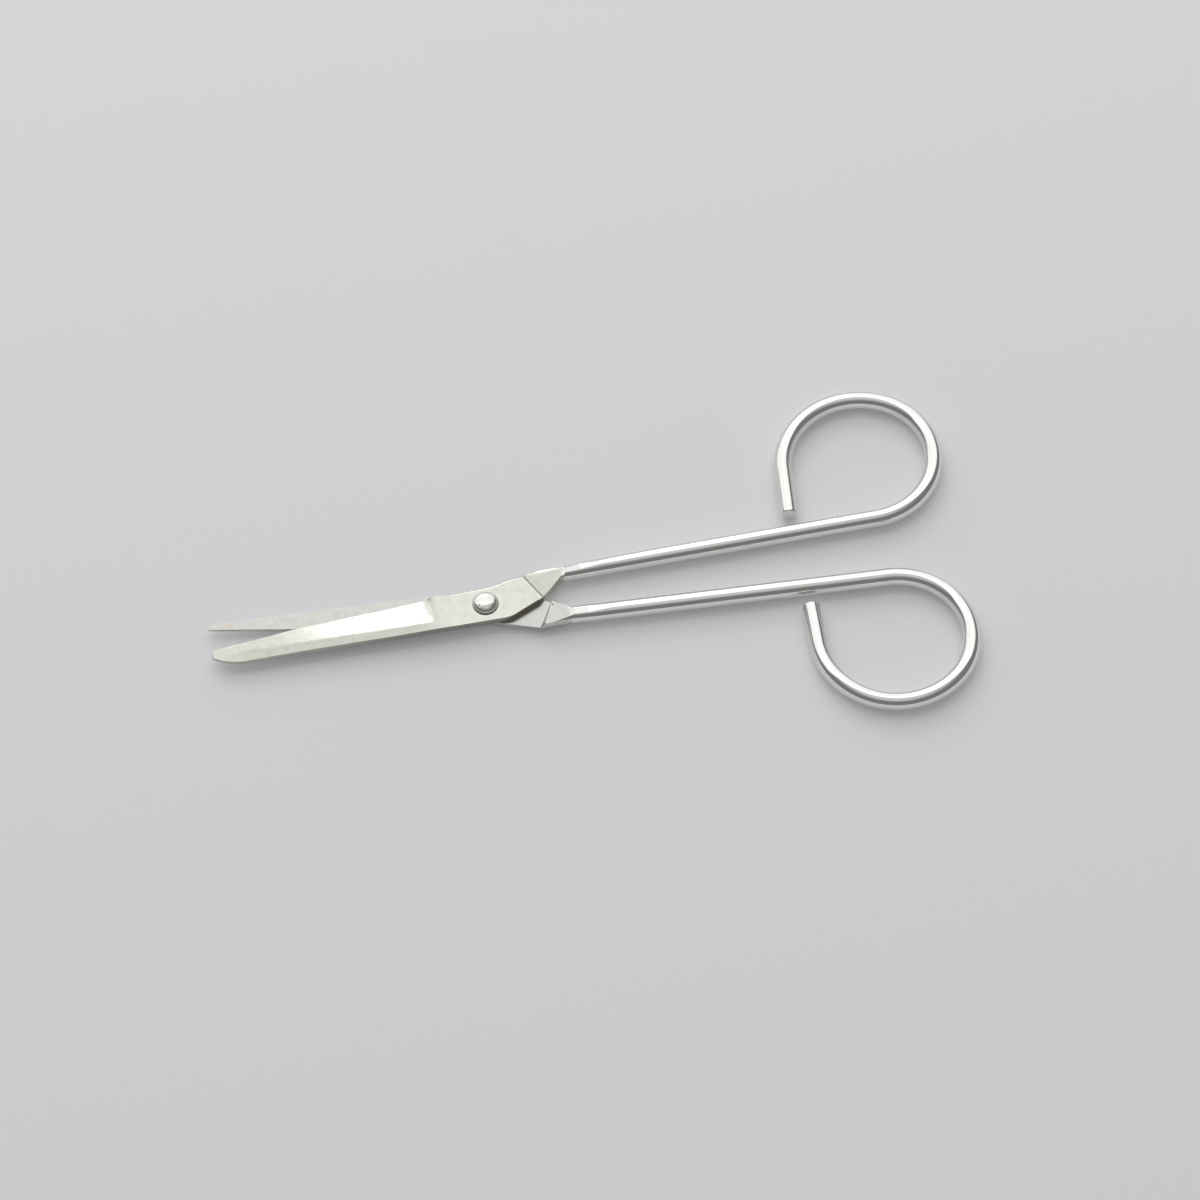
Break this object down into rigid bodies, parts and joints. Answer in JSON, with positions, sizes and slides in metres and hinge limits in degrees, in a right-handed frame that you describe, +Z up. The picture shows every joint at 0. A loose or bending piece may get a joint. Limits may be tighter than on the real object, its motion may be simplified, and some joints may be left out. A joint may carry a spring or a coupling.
{
  "type": "nurses scissors",
  "caption": "Bent-wire scissors with open finger rings, a blunt and a sharp straight blade, and a round-headed pivot rivet.",
  "frame": {"origin": "pivot axis at the flat foot of the rivet's peened tail, on the surface the scissors lie on", "axes": "+X from the pivot towards the finger rings, midway between the shanks; +Y towards the ring of the blunt half; +Z up, out of the rivet's domed head"},
  "size_m": [0.1142, 0.0567, 0.0037],
  "materials": {
    "blunt_half_steel": "bright polished wire, satin ground blade",
    "sharp_half_steel": "bright polished wire, satin ground blade",
    "rivet_steel": "polished dome, bare peened tail"
  },
  "bodies": {
    "sharp_body": {"sharp_blade_half": "sharp_half_steel", "pivot_rivet": "rivet_steel"},
    "blunt_body": {"blunt_blade_half": "blunt_half_steel"}
  },
  "joints": [
    {"name": "pivot", "type": "hinge", "parent": "sharp_body", "child": "blunt_body", "pos_m": [0, 0, 0], "axis": [0, 0, 1], "range_deg": [-6.8, 120]}
  ]
}
